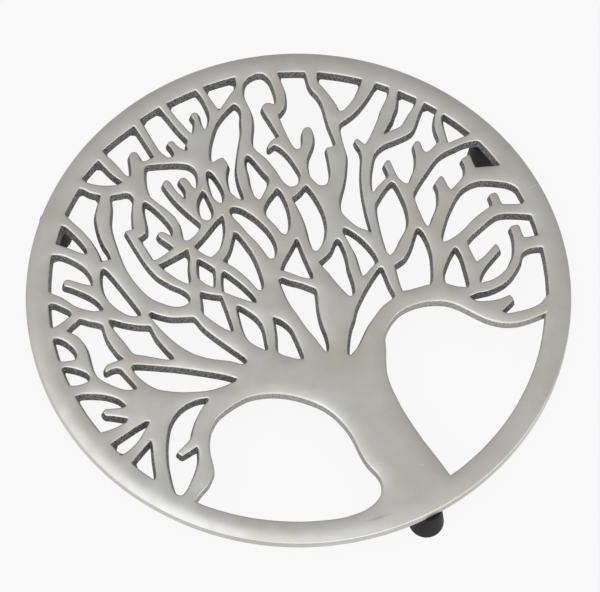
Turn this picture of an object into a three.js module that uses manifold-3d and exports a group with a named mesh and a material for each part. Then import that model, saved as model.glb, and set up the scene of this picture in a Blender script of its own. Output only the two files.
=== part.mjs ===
// Round trivet: an aluminium casting whose flat plate is pierced to leave a tree of life inside a plain rim,
// on three rubber feet pushed over pegs that are cast under the rim.
// Millimetres, +Z up, +Y from the tree's foot to its crown. The origin lies on the plane that the feet
// stand on, under the middle of the whole part.
import * as THREE from "three";
import { mergeVertices } from "three/addons/utils/BufferGeometryUtils.js";
import Module from "manifold-3d";

const wasm = await Module();
wasm.setup();

// Driving sizes of the casting
const plateRadius = 101.5;
const plateThickness = 5;
const rimWidth = 8.5;
const rimCrownWidth = 6.5;
const rimCrownDrop = 1;
const undersideRound = 0.6;
const pegDiameter = 5;
const pegChamfer = 0.5;

// Driving sizes of the feet
const footHeight = 14;
const footWall = 2.4;
const footSplay = 1.4;
const footSole = 3.7;
const footBottomRound = 1;
const footTopRound = 0.8;

// Clearances and fineness
const pegClearance = 0.3;
const cutOverrun = 1;
const outlineTolerance = 0.08;
const mergeDistance = 0.0001;
const circleSides = 96;
const pegSides = 32;
const footSides = 32;
const roundSteps = 4;
const crownSteps = 6;
const samplesPerSpan = 8;
const arcStepDegrees = 3;

// Where the feet stand, as bearings and as distances outwards from the rim's middle: under the trunk, then
// at its right and left
const frontFoot = { name: "rubber_foot_front", bearingDegrees: -90.35, outset: 0.35 };
const rightFoot = { name: "rubber_foot_right", bearingDegrees: 13.5, outset: -0.45 };
const leftFoot = { name: "rubber_foot_left", bearingDegrees: 132.9, outset: 0.2 };
const feet = [frontFoot, rightFoot, leftFoot];

// Sizes that follow
const plateBottom = footHeight;
const plateTop = plateBottom + plateThickness;
const fieldRadius = plateRadius - rimWidth;
const rimMiddleRadius = plateRadius - rimWidth / 2;
const pegRadius = pegDiameter / 2;
const pegEnd = footSole + pegClearance;
const boreRadius = pegRadius + pegClearance;
const footTopRadius = boreRadius + footWall;
const footBottomRadius = footTopRadius + footSplay;
const frontOverhang = footBottomRadius + frontFoot.outset - rimWidth / 2;

// The tree's windows. Each outline is a hand-placed list of points, clockwise from above, as shares of the
// plate's radius in the drawing, where the rim's inner edge lies at the share below. A point marked sharp is
// a corner, and the outline runs smoothly through the others.
const drawnFieldShare = 0.9163;
const sharp = true;

// Windows that the rim closes, clockwise from the large one left of the trunk. Each list starts and ends on
// the rim's inner edge, which closes it.
const rimWindowShares = [
  // Left of the trunk
  [
    [-0.731, -0.559], [-0.695, -0.539], [-0.663, -0.526], [-0.637, -0.508], [-0.616, -0.487],
    [-0.603, -0.455], [-0.593, -0.417], [-0.577, -0.38], [-0.553, -0.345], [-0.527, -0.323],
    [-0.5, -0.308], [-0.455, -0.297], [-0.41, -0.292], [-0.37, -0.293], [-0.33, -0.303],
    [-0.29, -0.32], [-0.25, -0.345], [-0.213, -0.377], [-0.18, -0.413], [-0.153, -0.45],
    [-0.134, -0.49], [-0.121, -0.535], [-0.115, -0.58], [-0.115, -0.62], [-0.119, -0.66],
    [-0.121, -0.7], [-0.117, -0.74], [-0.108, -0.78], [-0.108, -0.805], [-0.118, -0.832],
    [-0.14, -0.857], [-0.175, -0.873], [-0.221, -0.879], [-0.3, -0.866],
  ],
  // Lower triangle at the left
  [
    [-0.859, -0.318], [-0.827, -0.303], [-0.78, -0.282], [-0.755, -0.273, sharp], [-0.758, -0.29],
    [-0.78, -0.343], [-0.793, -0.377], [-0.803, -0.403], [-0.812, -0.417, sharp], [-0.82, -0.413],
  ],
  // Wedge above it
  [
    [-0.89, -0.217], [-0.823, -0.208], [-0.79, -0.203], [-0.757, -0.2], [-0.735, -0.201],
    [-0.725, -0.209, sharp], [-0.76, -0.233], [-0.8, -0.257], [-0.827, -0.267], [-0.853, -0.274],
    [-0.876, -0.276],
  ],
  // Window with a hooked twig
  [
    [-0.916, 0.01], [-0.897, 0.008], [-0.873, -0.002], [-0.847, -0.017], [-0.82, -0.035],
    [-0.797, -0.057], [-0.78, -0.08], [-0.769, -0.113, sharp], [-0.787, -0.113], [-0.807, -0.104],
    [-0.827, -0.094], [-0.846, -0.087], [-0.855, -0.092, sharp], [-0.853, -0.108, sharp],
    [-0.833, -0.123], [-0.81, -0.14], [-0.788, -0.16, sharp], [-0.8, -0.17, sharp], [-0.85, -0.17],
    [-0.88, -0.165], [-0.901, -0.162],
  ],
  // Three small leaves up the left side
  [
    [-0.909, 0.13], [-0.897, 0.132], [-0.88, 0.122], [-0.86, 0.103], [-0.843, 0.083], [-0.833, 0.065],
    [-0.834, 0.05], [-0.842, 0.041], [-0.855, 0.038], [-0.88, 0.041], [-0.903, 0.05], [-0.915, 0.058],
  ],
  [
    [-0.884, 0.246], [-0.877, 0.252], [-0.868, 0.248], [-0.853, 0.233], [-0.842, 0.213], [-0.833, 0.187],
    [-0.831, 0.165], [-0.837, 0.147], [-0.848, 0.14], [-0.873, 0.146], [-0.898, 0.158], [-0.903, 0.165],
  ],
  [
    [-0.834, 0.382], [-0.826, 0.383], [-0.813, 0.377], [-0.797, 0.357], [-0.783, 0.337], [-0.775, 0.32],
    [-0.777, 0.307], [-0.793, 0.302], [-0.823, 0.296], [-0.857, 0.291], [-0.868, 0.297],
  ],
  // Leaf with a long twig, upper left
  [
    [-0.732, 0.56], [-0.703, 0.543], [-0.68, 0.517], [-0.66, 0.483], [-0.647, 0.453], [-0.643, 0.42],
    [-0.645, 0.397], [-0.657, 0.373, sharp], [-0.693, 0.407], [-0.71, 0.427], [-0.723, 0.44],
    [-0.733, 0.444], [-0.742, 0.438], [-0.748, 0.425, sharp], [-0.727, 0.403], [-0.707, 0.377],
    [-0.687, 0.347], [-0.673, 0.32], [-0.665, 0.29], [-0.665, 0.265, sharp], [-0.7, 0.28],
    [-0.74, 0.317], [-0.753, 0.335], [-0.763, 0.357], [-0.773, 0.377], [-0.783, 0.393],
    [-0.797, 0.41], [-0.81, 0.428],
  ],
  [
    [-0.643, 0.652], [-0.631, 0.635], [-0.622, 0.6], [-0.611, 0.56], [-0.607, 0.525], [-0.611, 0.503],
    [-0.62, 0.501], [-0.648, 0.534], [-0.672, 0.564], [-0.698, 0.592],
  ],
  [
    [-0.515, 0.758], [-0.5, 0.742], [-0.488, 0.722], [-0.457, 0.693, sharp], [-0.475, 0.672],
    [-0.495, 0.65], [-0.512, 0.628], [-0.524, 0.6], [-0.533, 0.57], [-0.54, 0.535], [-0.543, 0.5],
    [-0.541, 0.47], [-0.546, 0.438, sharp], [-0.585, 0.446, sharp], [-0.58, 0.473], [-0.577, 0.507],
    [-0.578, 0.547], [-0.583, 0.58], [-0.593, 0.617], [-0.603, 0.65], [-0.612, 0.687],
  ],
  [
    [-0.398, 0.829], [-0.39, 0.797], [-0.38, 0.753], [-0.36, 0.702, sharp], [-0.383, 0.702],
    [-0.42, 0.718], [-0.453, 0.74], [-0.477, 0.763], [-0.488, 0.789],
  ],
  // Crown windows with twigs
  [
    [-0.213, 0.895], [-0.209, 0.82], [-0.208, 0.74, sharp], [-0.225, 0.74], [-0.253, 0.743],
    [-0.26, 0.75, sharp], [-0.258, 0.79], [-0.267, 0.798], [-0.281, 0.796], [-0.29, 0.783],
    [-0.303, 0.75], [-0.325, 0.71], [-0.337, 0.72], [-0.343, 0.75], [-0.35, 0.79], [-0.36, 0.83],
    [-0.368, 0.857],
  ],
  [
    [-0.093, 0.921], [-0.088, 0.89], [-0.083, 0.857], [-0.077, 0.807], [-0.07, 0.773],
    [-0.064, 0.743, sharp], [-0.078, 0.727], [-0.083, 0.71], [-0.09, 0.705], [-0.103, 0.723],
    [-0.112, 0.747], [-0.116, 0.768], [-0.127, 0.773], [-0.137, 0.768], [-0.134, 0.74],
    [-0.138, 0.713], [-0.148, 0.708], [-0.163, 0.713], [-0.173, 0.73], [-0.179, 0.753],
    [-0.182, 0.873], [-0.181, 0.91],
  ],
  [
    [0.063, 0.92], [0.069, 0.873], [0.065, 0.84], [0.062, 0.813], [0.055, 0.793], [0.043, 0.777],
    [0.027, 0.76], [0.013, 0.752, sharp], [0.01, 0.767], [0.013, 0.797], [0.022, 0.83], [0.013, 0.838],
    [-0.003, 0.833], [-0.003, 0.807], [-0.013, 0.787], [-0.027, 0.767], [-0.037, 0.758, sharp],
    [-0.045, 0.773], [-0.05, 0.807], [-0.057, 0.847], [-0.06, 0.89], [-0.063, 0.922],
  ],
  [
    [0.221, 0.897], [0.205, 0.863], [0.163, 0.837], [0.13, 0.817], [0.097, 0.797, sharp],
    [0.093, 0.873], [0.092, 0.92],
  ],
  // Branching window, upper right
  [
    [0.462, 0.79], [0.458, 0.767], [0.45, 0.74], [0.448, 0.713], [0.453, 0.687], [0.455, 0.663],
    [0.452, 0.633], [0.443, 0.6], [0.435, 0.57], [0.428, 0.54], [0.423, 0.507], [0.417, 0.48],
    [0.413, 0.46, sharp], [0.393, 0.46], [0.376, 0.467, sharp], [0.37, 0.453], [0.36, 0.423],
    [0.348, 0.393], [0.337, 0.367], [0.323, 0.347], [0.307, 0.333], [0.297, 0.329], [0.285, 0.333],
    [0.273, 0.343], [0.265, 0.37], [0.263, 0.387], [0.268, 0.413], [0.277, 0.437], [0.29, 0.46],
    [0.31, 0.48], [0.333, 0.5], [0.353, 0.527], [0.363, 0.553], [0.363, 0.573], [0.347, 0.58],
    [0.333, 0.572], [0.32, 0.55], [0.3, 0.52], [0.283, 0.51], [0.272, 0.517], [0.268, 0.54],
    [0.272, 0.59], [0.278, 0.633], [0.283, 0.677, sharp], [0.3, 0.683], [0.323, 0.697],
    [0.338, 0.717], [0.347, 0.737], [0.357, 0.76], [0.36, 0.783], [0.363, 0.807], [0.368, 0.839],
  ],
  [
    [0.638, 0.657], [0.6, 0.622], [0.567, 0.6], [0.533, 0.583], [0.507, 0.575], [0.493, 0.583],
    [0.497, 0.607], [0.495, 0.657], [0.49, 0.7], [0.485, 0.727], [0.49, 0.747], [0.503, 0.767],
  ],
  // Long window that follows the right bough
  [
    [0.709, 0.58], [0.7, 0.563], [0.68, 0.543], [0.64, 0.513], [0.617, 0.49], [0.593, 0.47],
    [0.57, 0.45], [0.547, 0.433], [0.527, 0.417], [0.508, 0.407, sharp], [0.502, 0.427],
    [0.497, 0.445], [0.486, 0.443], [0.482, 0.43], [0.483, 0.403], [0.475, 0.373], [0.457, 0.343],
    [0.437, 0.31], [0.42, 0.277], [0.403, 0.24], [0.39, 0.203], [0.377, 0.167], [0.365, 0.13],
    [0.357, 0.097], [0.348, 0.072, sharp], [0.337, 0.09], [0.323, 0.107], [0.31, 0.13], [0.3, 0.16],
    [0.293, 0.19], [0.294, 0.21], [0.3, 0.23], [0.313, 0.253], [0.33, 0.273], [0.353, 0.297],
    [0.373, 0.323], [0.393, 0.35], [0.41, 0.377], [0.425, 0.403], [0.434, 0.433], [0.441, 0.463],
    [0.453, 0.497], [0.463, 0.525], [0.477, 0.535], [0.5, 0.538], [0.533, 0.545], [0.563, 0.555],
    [0.593, 0.57], [0.623, 0.587], [0.65, 0.603], [0.673, 0.621],
  ],
  [
    [0.775, 0.49], [0.773, 0.482], [0.763, 0.47], [0.727, 0.448], [0.707, 0.435], [0.687, 0.422],
    [0.667, 0.412], [0.647, 0.41], [0.62, 0.412], [0.593, 0.412, sharp], [0.607, 0.425],
    [0.623, 0.438], [0.647, 0.453], [0.667, 0.473], [0.687, 0.49], [0.702, 0.51], [0.715, 0.53],
    [0.732, 0.551],
  ],
  // Window with two twigs, right side
  [
    [0.82, 0.41], [0.817, 0.403], [0.808, 0.397], [0.797, 0.383], [0.783, 0.363], [0.773, 0.34],
    [0.768, 0.32], [0.765, 0.3], [0.76, 0.29, sharp], [0.747, 0.282], [0.72, 0.273], [0.7, 0.268],
    [0.69, 0.273, sharp], [0.689, 0.29], [0.692, 0.307], [0.695, 0.322], [0.688, 0.329],
    [0.673, 0.323], [0.665, 0.312], [0.662, 0.3], [0.653, 0.277], [0.64, 0.253], [0.623, 0.23],
    [0.607, 0.217], [0.59, 0.202], [0.573, 0.188], [0.562, 0.19], [0.555, 0.2], [0.55, 0.22],
    [0.549, 0.243], [0.552, 0.267], [0.555, 0.29], [0.557, 0.307], [0.55, 0.311], [0.54, 0.307],
    [0.53, 0.3, sharp], [0.527, 0.28], [0.524, 0.257], [0.519, 0.247, sharp], [0.497, 0.242],
    [0.477, 0.235], [0.457, 0.227], [0.443, 0.218], [0.435, 0.218, sharp], [0.435, 0.23],
    [0.44, 0.243], [0.45, 0.263], [0.463, 0.287], [0.48, 0.31], [0.497, 0.333], [0.517, 0.355],
    [0.54, 0.368], [0.567, 0.374], [0.6, 0.373], [0.633, 0.37], [0.667, 0.37], [0.687, 0.373],
    [0.707, 0.385], [0.73, 0.405], [0.753, 0.427], [0.773, 0.445], [0.793, 0.458],
  ],
  [
    [0.879, 0.26], [0.87, 0.258], [0.853, 0.258], [0.82, 0.262], [0.785, 0.263, sharp],
    [0.79, 0.287], [0.797, 0.31], [0.805, 0.34], [0.813, 0.363], [0.822, 0.377], [0.834, 0.378],
  ],
  [
    [0.909, 0.09], [0.903, 0.089], [0.883, 0.098], [0.853, 0.112], [0.823, 0.123, sharp],
    [0.825, 0.143], [0.83, 0.167], [0.833, 0.185, sharp], [0.813, 0.183], [0.795, 0.18, sharp],
    [0.792, 0.153], [0.783, 0.133], [0.77, 0.118], [0.75, 0.108], [0.727, 0.098], [0.707, 0.09],
    [0.695, 0.087, sharp], [0.693, 0.107], [0.695, 0.13], [0.697, 0.15], [0.693, 0.157],
    [0.677, 0.15], [0.657, 0.14, sharp], [0.653, 0.113], [0.643, 0.09], [0.627, 0.063],
    [0.607, 0.043], [0.587, 0.027], [0.567, 0.008], [0.557, 0], [0.545, -0.007, sharp],
    [0.54, 0.003], [0.543, 0.03], [0.548, 0.06], [0.553, 0.09], [0.557, 0.117], [0.565, 0.14],
    [0.587, 0.158], [0.613, 0.175], [0.64, 0.19], [0.667, 0.205], [0.693, 0.22], [0.72, 0.232],
    [0.747, 0.237], [0.773, 0.237], [0.807, 0.237], [0.837, 0.235], [0.863, 0.228], [0.883, 0.221],
    [0.892, 0.213],
  ],
  [
    [0.912, -0.085], [0.9, -0.09], [0.873, -0.078], [0.853, -0.067], [0.832, -0.057, sharp],
    [0.833, -0.037], [0.837, -0.017], [0.835, -0.002], [0.825, 0.001], [0.811, 0], [0.805, -0.023],
    [0.799, -0.043, sharp], [0.767, -0.047], [0.74, -0.052], [0.713, -0.058], [0.687, -0.067],
    [0.66, -0.077], [0.633, -0.085], [0.607, -0.09], [0.58, -0.092], [0.562, -0.09, sharp],
    [0.565, -0.07], [0.577, -0.05], [0.597, -0.03], [0.617, -0.01], [0.637, 0.01], [0.653, 0.023],
    [0.68, 0.043], [0.71, 0.062], [0.74, 0.073], [0.773, 0.075], [0.803, 0.07], [0.833, 0.055],
    [0.863, 0.035], [0.887, 0.017], [0.905, -0.004], [0.914, -0.025],
  ],
  [
    [0.884, -0.234], [0.87, -0.228], [0.85, -0.222], [0.832, -0.215, sharp], [0.835, -0.193],
    [0.84, -0.173], [0.842, -0.16], [0.83, -0.154], [0.812, -0.153], [0.803, -0.183],
    [0.793, -0.21], [0.78, -0.233], [0.763, -0.257], [0.747, -0.27], [0.727, -0.287],
    [0.703, -0.298], [0.677, -0.306], [0.65, -0.309], [0.623, -0.307], [0.597, -0.302, sharp],
    [0.602, -0.285], [0.617, -0.27], [0.637, -0.255], [0.66, -0.243], [0.687, -0.232],
    [0.728, -0.215, sharp], [0.731, -0.2], [0.729, -0.186, sharp], [0.7, -0.197], [0.677, -0.207],
    [0.653, -0.215], [0.627, -0.219, sharp], [0.63, -0.193], [0.633, -0.167], [0.635, -0.145],
    [0.64, -0.127, sharp], [0.66, -0.117], [0.687, -0.108], [0.713, -0.102], [0.74, -0.095],
    [0.767, -0.088], [0.793, -0.086], [0.82, -0.095], [0.847, -0.11], [0.87, -0.125],
    [0.89, -0.137], [0.904, -0.148],
  ],
  [
    [0.795, -0.457], [0.782, -0.463], [0.767, -0.47], [0.747, -0.477], [0.72, -0.478],
    [0.693, -0.474], [0.667, -0.468], [0.643, -0.462], [0.622, -0.455, sharp],
    [0.607, -0.437, sharp], [0.627, -0.43], [0.667, -0.417, sharp], [0.67, -0.408],
    [0.667, -0.392, sharp], [0.647, -0.392], [0.62, -0.389], [0.593, -0.38], [0.57, -0.37],
    [0.553, -0.36], [0.54, -0.347], [0.533, -0.328, sharp], [0.553, -0.327], [0.58, -0.333],
    [0.607, -0.34], [0.633, -0.343], [0.66, -0.343], [0.687, -0.338], [0.71, -0.33],
    [0.733, -0.317], [0.753, -0.305], [0.773, -0.288], [0.785, -0.273], [0.797, -0.265],
    [0.817, -0.263], [0.84, -0.267], [0.872, -0.282],
  ],
  // Right of the trunk
  [
    [0.115, -0.91], [0.113, -0.87], [0.109, -0.83], [0.104, -0.78], [0.099, -0.73], [0.096, -0.68],
    [0.095, -0.64], [0.095, -0.6], [0.099, -0.545], [0.105, -0.497], [0.115, -0.453], [0.14, -0.4],
    [0.167, -0.35], [0.182, -0.318], [0.2, -0.298], [0.223, -0.282], [0.25, -0.268], [0.277, -0.259],
    [0.313, -0.256], [0.353, -0.261], [0.395, -0.274], [0.43, -0.292], [0.455, -0.31],
    [0.477, -0.335], [0.495, -0.362], [0.513, -0.392], [0.53, -0.418], [0.545, -0.44],
    [0.567, -0.462], [0.595, -0.484], [0.632, -0.502], [0.668, -0.511], [0.705, -0.516],
    [0.745, -0.52],
  ],
];

// Windows that lie wholly among the branches
const branchWindowShares = [
  // Crown, from the left
  [
    [-0.43, 0.67], [-0.42, 0.673], [-0.397, 0.665], [-0.373, 0.658], [-0.36, 0.645],
    [-0.357, 0.62, sharp], [-0.375, 0.593], [-0.387, 0.573], [-0.4, 0.547], [-0.416, 0.508, sharp],
    [-0.447, 0.517, sharp], [-0.447, 0.473], [-0.444, 0.403], [-0.443, 0.36], [-0.438, 0.327],
    [-0.43, 0.293], [-0.417, 0.267], [-0.4, 0.237], [-0.38, 0.21], [-0.368, 0.187], [-0.364, 0.165],
    [-0.37, 0.15], [-0.38, 0.143], [-0.4, 0.141], [-0.42, 0.147], [-0.44, 0.16], [-0.457, 0.177],
    [-0.473, 0.197], [-0.49, 0.22], [-0.502, 0.25], [-0.511, 0.29], [-0.517, 0.335], [-0.518, 0.38],
    [-0.515, 0.42], [-0.511, 0.45], [-0.505, 0.483], [-0.498, 0.517], [-0.49, 0.55], [-0.478, 0.58],
    [-0.463, 0.607], [-0.447, 0.633], [-0.435, 0.66],
  ],
  [
    [-0.33, 0.592], [-0.318, 0.577], [-0.307, 0.547], [-0.297, 0.51], [-0.292, 0.48],
    [-0.289, 0.453], [-0.292, 0.433], [-0.305, 0.413, sharp], [-0.313, 0.423], [-0.32, 0.437],
    [-0.328, 0.448], [-0.34, 0.452], [-0.348, 0.443], [-0.343, 0.42], [-0.333, 0.4],
    [-0.322, 0.368, sharp], [-0.36, 0.362], [-0.38, 0.359], [-0.407, 0.357], [-0.414, 0.363],
    [-0.414, 0.387], [-0.416, 0.42], [-0.418, 0.47, sharp], [-0.4, 0.471], [-0.383, 0.476, sharp],
    [-0.372, 0.497], [-0.363, 0.527], [-0.353, 0.557], [-0.343, 0.58],
  ],
  [
    [-0.25, 0.722], [-0.22, 0.71], [-0.187, 0.695], [-0.153, 0.68], [-0.127, 0.663], [-0.11, 0.647],
    [-0.1, 0.623], [-0.102, 0.597], [-0.12, 0.56], [-0.137, 0.545, sharp], [-0.143, 0.563],
    [-0.145, 0.593], [-0.153, 0.612], [-0.173, 0.61], [-0.172, 0.587], [-0.173, 0.56],
    [-0.19, 0.525, sharp], [-0.198, 0.547], [-0.205, 0.587], [-0.207, 0.623], [-0.215, 0.634],
    [-0.233, 0.625], [-0.233, 0.607], [-0.23, 0.567], [-0.222, 0.52], [-0.21, 0.477], [-0.2, 0.447],
    [-0.192, 0.423], [-0.189, 0.407], [-0.195, 0.397], [-0.227, 0.378], [-0.247, 0.373],
    [-0.262, 0.371], [-0.275, 0.38], [-0.273, 0.403], [-0.265, 0.427], [-0.259, 0.455],
    [-0.26, 0.483], [-0.267, 0.507], [-0.28, 0.547], [-0.293, 0.577], [-0.3, 0.607], [-0.297, 0.633],
    [-0.29, 0.66], [-0.277, 0.69], [-0.26, 0.718],
  ],
  [
    [-0.118, 0.53, sharp], [-0.112, 0.517], [-0.113, 0.487], [-0.117, 0.453], [-0.123, 0.43],
    [-0.133, 0.417], [-0.147, 0.409], [-0.16, 0.41], [-0.17, 0.418], [-0.176, 0.433],
    [-0.175, 0.455], [-0.168, 0.477], [-0.157, 0.497], [-0.14, 0.515],
  ],
  [
    [-0.062, 0.593], [-0.052, 0.58], [-0.047, 0.547], [-0.047, 0.507], [-0.052, 0.48],
    [-0.06, 0.463], [-0.073, 0.45], [-0.082, 0.448], [-0.09, 0.457], [-0.095, 0.48],
    [-0.096, 0.51], [-0.088, 0.543], [-0.077, 0.577],
  ],
  [
    [0.16, 0.797], [0.17, 0.78], [0.168, 0.753], [0.153, 0.727], [0.13, 0.68], [0.1, 0.64],
    [0.077, 0.607], [0.053, 0.573], [0.037, 0.547], [0.023, 0.513], [0.013, 0.477], [0.007, 0.44],
    [-0.001, 0.42, sharp], [-0.015, 0.43], [-0.023, 0.447], [-0.029, 0.47], [-0.029, 0.487],
    [-0.023, 0.51], [-0.012, 0.54], [0.017, 0.58, sharp], [0.018, 0.603], [0.015, 0.618, sharp],
    [-0.003, 0.618], [-0.025, 0.612, sharp], [-0.034, 0.627, sharp], [-0.023, 0.653],
    [-0.007, 0.68], [0.013, 0.707], [0.037, 0.733], [0.063, 0.757], [0.097, 0.777], [0.13, 0.79],
  ],
  [
    [0.1, 0.583, sharp], [0.108, 0.567], [0.115, 0.523], [0.12, 0.487], [0.125, 0.46, sharp],
    [0.118, 0.442], [0.107, 0.43], [0.09, 0.417], [0.07, 0.403], [0.053, 0.392, sharp],
    [0.045, 0.397], [0.041, 0.42], [0.043, 0.45], [0.053, 0.487], [0.063, 0.515], [0.07, 0.543],
    [0.083, 0.57],
  ],
  [
    [0.21, 0.817], [0.22, 0.84], [0.24, 0.863], [0.267, 0.873], [0.297, 0.872], [0.317, 0.862],
    [0.327, 0.84], [0.329, 0.813], [0.323, 0.78], [0.315, 0.75], [0.303, 0.727], [0.295, 0.722],
    [0.288, 0.727], [0.28, 0.738], [0.263, 0.743], [0.247, 0.733], [0.245, 0.687], [0.245, 0.64],
    [0.244, 0.592, sharp], [0.21, 0.592], [0.192, 0.582, sharp], [0.182, 0.565, sharp],
    [0.21, 0.57], [0.223, 0.55], [0.232, 0.52], [0.237, 0.487], [0.238, 0.453], [0.236, 0.415],
    [0.227, 0.4], [0.213, 0.385], [0.198, 0.38], [0.178, 0.385], [0.168, 0.403], [0.163, 0.427],
    [0.163, 0.46], [0.16, 0.5], [0.155, 0.533], [0.145, 0.563], [0.138, 0.587], [0.138, 0.613],
    [0.148, 0.637], [0.163, 0.66], [0.18, 0.687], [0.195, 0.72], [0.202, 0.747], [0.205, 0.78],
  ],
  // Left boughs
  [
    [-0.825, 0.258, sharp], [-0.8, 0.268], [-0.758, 0.279, sharp], [-0.727, 0.247], [-0.71, 0.233],
    [-0.697, 0.218, sharp], [-0.699, 0.2], [-0.705, 0.173], [-0.707, 0.147], [-0.705, 0.113],
    [-0.7, 0.083], [-0.692, 0.057, sharp], [-0.723, 0.062], [-0.74, 0.065], [-0.758, 0.065],
    [-0.768, 0.058], [-0.775, 0.043, sharp], [-0.753, 0.043], [-0.737, 0.04], [-0.723, 0.03],
    [-0.718, 0.013], [-0.712, -0.013], [-0.707, -0.04], [-0.703, -0.063], [-0.707, -0.073, sharp],
    [-0.723, -0.065], [-0.74, -0.058], [-0.753, -0.047], [-0.773, -0.023], [-0.79, 0], [-0.8, 0.017],
    [-0.81, 0.04], [-0.812, 0.07], [-0.808, 0.097], [-0.802, 0.12], [-0.795, 0.147], [-0.792, 0.17],
    [-0.793, 0.193], [-0.798, 0.217], [-0.807, 0.233],
  ],
  [
    [-0.593, 0.42], [-0.583, 0.41], [-0.577, 0.387], [-0.57, 0.333], [-0.563, 0.287], [-0.557, 0.24],
    [-0.552, 0.2], [-0.555, 0.182, sharp], [-0.573, 0.187], [-0.593, 0.2], [-0.61, 0.223],
    [-0.623, 0.25], [-0.632, 0.28], [-0.637, 0.313], [-0.635, 0.343], [-0.628, 0.367],
    [-0.617, 0.393], [-0.603, 0.413],
  ],
  [
    [-0.668, 0.222], [-0.653, 0.213], [-0.633, 0.193], [-0.607, 0.17], [-0.58, 0.15],
    [-0.545, 0.13, sharp], [-0.547, 0.077], [-0.543, 0.047], [-0.537, 0.01], [-0.53, -0.018],
    [-0.533, -0.032, sharp], [-0.55, -0.025], [-0.583, 0], [-0.607, 0.02], [-0.63, 0.04],
    [-0.648, 0.053], [-0.655, 0.067], [-0.658, 0.09], [-0.663, 0.127], [-0.668, 0.16],
    [-0.673, 0.2],
  ],
  [
    [-0.518, 0.178, sharp], [-0.507, 0.163], [-0.487, 0.143], [-0.463, 0.123], [-0.44, 0.112],
    [-0.39, 0.085, sharp], [-0.386, 0.073], [-0.382, 0.043], [-0.374, 0.015], [-0.36, -0.02],
    [-0.34, -0.07], [-0.327, -0.1], [-0.313, -0.13], [-0.304, -0.157], [-0.305, -0.168],
    [-0.317, -0.172], [-0.33, -0.167], [-0.343, -0.152], [-0.363, -0.133], [-0.39, -0.113],
    [-0.417, -0.093], [-0.44, -0.07], [-0.457, -0.053], [-0.473, -0.027], [-0.487, -0.003],
    [-0.5, 0.03], [-0.513, 0.07], [-0.52, 0.103], [-0.525, 0.13], [-0.531, 0.173],
  ],
  [
    [-0.683, 0.017], [-0.673, 0.02], [-0.653, 0.01], [-0.623, -0.01], [-0.587, -0.033],
    [-0.547, -0.06], [-0.507, -0.09], [-0.473, -0.115], [-0.44, -0.143], [-0.42, -0.16],
    [-0.393, -0.183], [-0.369, -0.21, sharp], [-0.38, -0.217, sharp], [-0.41, -0.215],
    [-0.44, -0.211], [-0.463, -0.207], [-0.493, -0.198], [-0.527, -0.183], [-0.563, -0.165],
    [-0.593, -0.147], [-0.62, -0.127], [-0.64, -0.11], [-0.657, -0.087], [-0.67, -0.06],
    [-0.678, -0.037], [-0.684, -0.01],
  ],
  [
    [-0.495, -0.228, sharp], [-0.503, -0.237, sharp], [-0.527, -0.247], [-0.557, -0.267],
    [-0.577, -0.283], [-0.597, -0.303], [-0.613, -0.32], [-0.625, -0.335, sharp], [-0.64, -0.343],
    [-0.663, -0.352], [-0.694, -0.361, sharp], [-0.687, -0.381, sharp], [-0.657, -0.378],
    [-0.622, -0.375, sharp], [-0.623, -0.387], [-0.632, -0.407], [-0.643, -0.427], [-0.66, -0.447],
    [-0.677, -0.463], [-0.697, -0.48], [-0.713, -0.493], [-0.737, -0.508], [-0.755, -0.517],
    [-0.768, -0.511], [-0.776, -0.495], [-0.773, -0.467], [-0.767, -0.443], [-0.758, -0.413],
    [-0.75, -0.387], [-0.74, -0.363], [-0.727, -0.337], [-0.713, -0.31], [-0.697, -0.287],
    [-0.68, -0.263], [-0.66, -0.243], [-0.633, -0.225], [-0.607, -0.215], [-0.58, -0.21],
    [-0.557, -0.21], [-0.533, -0.213], [-0.51, -0.221],
  ],
  // Middle, from the left
  [
    [-0.405, 0.335, sharp], [-0.278, 0.34, sharp], [-0.29, 0.303], [-0.307, 0.273], [-0.32, 0.243],
    [-0.332, 0.217], [-0.342, 0.212], [-0.353, 0.22], [-0.37, 0.247], [-0.385, 0.28],
    [-0.397, 0.307],
  ],
  [
    [-0.255, 0.338, sharp], [-0.227, 0.35], [-0.193, 0.365], [-0.16, 0.38], [-0.13, 0.395],
    [-0.101, 0.403, sharp], [-0.102, 0.39], [-0.11, 0.37], [-0.123, 0.34], [-0.143, 0.313],
    [-0.163, 0.293], [-0.187, 0.278], [-0.218, 0.267, sharp], [-0.23, 0.28], [-0.243, 0.303],
  ],
  [
    [-0.268, 0.287], [-0.26, 0.28], [-0.247, 0.257], [-0.235, 0.233], [-0.231, 0.222],
    [-0.237, 0.203], [-0.247, 0.183], [-0.26, 0.16], [-0.267, 0.152, sharp], [-0.277, 0.162],
    [-0.29, 0.183], [-0.298, 0.203], [-0.302, 0.22], [-0.293, 0.243], [-0.282, 0.267],
  ],
  [
    [-0.213, 0.197], [-0.205, 0.195], [-0.197, 0.177], [-0.183, 0.147], [-0.173, 0.12],
    [-0.165, 0.09], [-0.158, 0.06], [-0.157, 0.037], [-0.163, 0.023, sharp], [-0.183, 0.043],
    [-0.2, 0.063], [-0.217, 0.083], [-0.233, 0.103], [-0.25, 0.127, sharp], [-0.237, 0.16],
    [-0.225, 0.183],
  ],
  [
    [-0.322, 0.163, sharp], [-0.3, 0.143], [-0.28, 0.127], [-0.259, 0.113, sharp], [-0.262, 0.093],
    [-0.268, 0.06], [-0.273, 0.03], [-0.279, 0], [-0.286, -0.028], [-0.293, -0.037],
    [-0.302, -0.03], [-0.32, -0.003], [-0.33, 0.018], [-0.343, 0.047], [-0.353, 0.075],
    [-0.355, 0.09, sharp], [-0.34, 0.123], [-0.33, 0.15],
  ],
  [
    [-0.23, 0.05], [-0.22, 0.04], [-0.208, 0.02], [-0.2, 0.003], [-0.191, -0.02], [-0.186, -0.05],
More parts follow.
